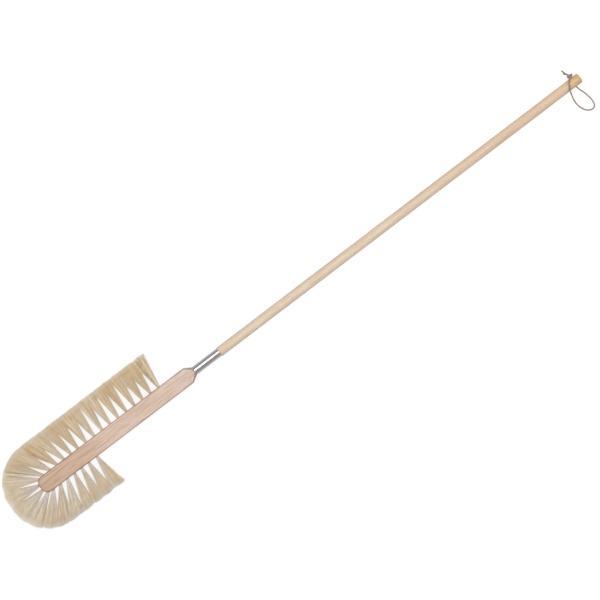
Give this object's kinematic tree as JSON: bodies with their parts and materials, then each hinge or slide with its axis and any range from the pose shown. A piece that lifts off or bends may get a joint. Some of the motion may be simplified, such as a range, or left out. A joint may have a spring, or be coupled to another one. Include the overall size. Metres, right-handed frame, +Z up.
{
  "type": "cobweb brush",
  "caption": "Long-handled cobweb brush: flat wooden head with natural bristle tufts round its tip and both edges, metal sleeve, round wooden handle and leather hanging loop.",
  "frame": {"origin": "on the resting surface, under the middle of the head block", "axes": "+X along the handle to its free end with the hanging loop, +Y to the long row of bristles, +Z up from the flat side that the brush lies on"},
  "size_m": [1.2686, 0.1632, 0.0211],
  "materials": {
    "beech_block": "satin",
    "pale_handle": "satin",
    "natural_bristle": "matte",
    "polished_sleeve": "polished",
    "anchor_wire": "satin",
    "leather_thong": "matte"
  },
  "bodies": {
    "brush": {"head_block": "beech_block", "joining_sleeve": "polished_sleeve", "handle": "pale_handle", "bristle_tuft_01": "natural_bristle", "bristle_tuft_02": "natural_bristle", "bristle_tuft_03": "natural_bristle", "bristle_tuft_04": "natural_bristle", "bristle_tuft_05": "natural_bristle", "bristle_tuft_06": "natural_bristle", "bristle_tuft_07": "natural_bristle", "bristle_tuft_08": "natural_bristle", "bristle_tuft_09": "natural_bristle", "bristle_tuft_10": "natural_bristle", "bristle_tuft_11": "natural_bristle", "bristle_tuft_12": "natural_bristle", "bristle_tuft_13": "natural_bristle", "bristle_tuft_14": "natural_bristle", "bristle_tuft_15": "natural_bristle", "bristle_tuft_16": "natural_bristle", "bristle_tuft_17": "natural_bristle", "bristle_tuft_18": "natural_bristle", "bristle_tuft_19": "natural_bristle", "bristle_tuft_20": "natural_bristle", "bristle_tuft_21": "natural_bristle", "bristle_tuft_22": "natural_bristle", "bristle_tuft_23": "natural_bristle", "bristle_tuft_24": "natural_bristle", "bristle_tuft_25": "natural_bristle", "bristle_tuft_26": "natural_bristle", "bristle_tuft_27": "natural_bristle", "wire_anchor_01": "anchor_wire", "wire_anchor_02": "anchor_wire", "wire_anchor_03": "anchor_wire", "wire_anchor_04": "anchor_wire", "wire_anchor_05": "anchor_wire", "wire_anchor_06": "anchor_wire", "wire_anchor_07": "anchor_wire", "wire_anchor_08": "anchor_wire", "wire_anchor_09": "anchor_wire", "wire_anchor_10": "anchor_wire", "wire_anchor_11": "anchor_wire", "wire_anchor_12": "anchor_wire", "wire_anchor_13": "anchor_wire", "wire_anchor_14": "anchor_wire", "wire_anchor_15": "anchor_wire", "wire_anchor_16": "anchor_wire", "wire_anchor_17": "anchor_wire", "wire_anchor_18": "anchor_wire", "wire_anchor_19": "anchor_wire", "wire_anchor_20": "anchor_wire", "wire_anchor_21": "anchor_wire", "wire_anchor_22": "anchor_wire", "wire_anchor_23": "anchor_wire", "wire_anchor_24": "anchor_wire", "wire_anchor_25": "anchor_wire", "wire_anchor_26": "anchor_wire", "wire_anchor_27": "anchor_wire"},
    "loop": {"hanging_thong": "leather_thong", "thong_knot": "leather_thong"}
  },
  "joints": [
    {"name": "loop_turn", "type": "hinge", "parent": "brush", "child": "loop", "pos_m": [1.0165, 0, 0.009], "axis": [0, 1, 0], "range_deg": [0, 45]}
  ]
}
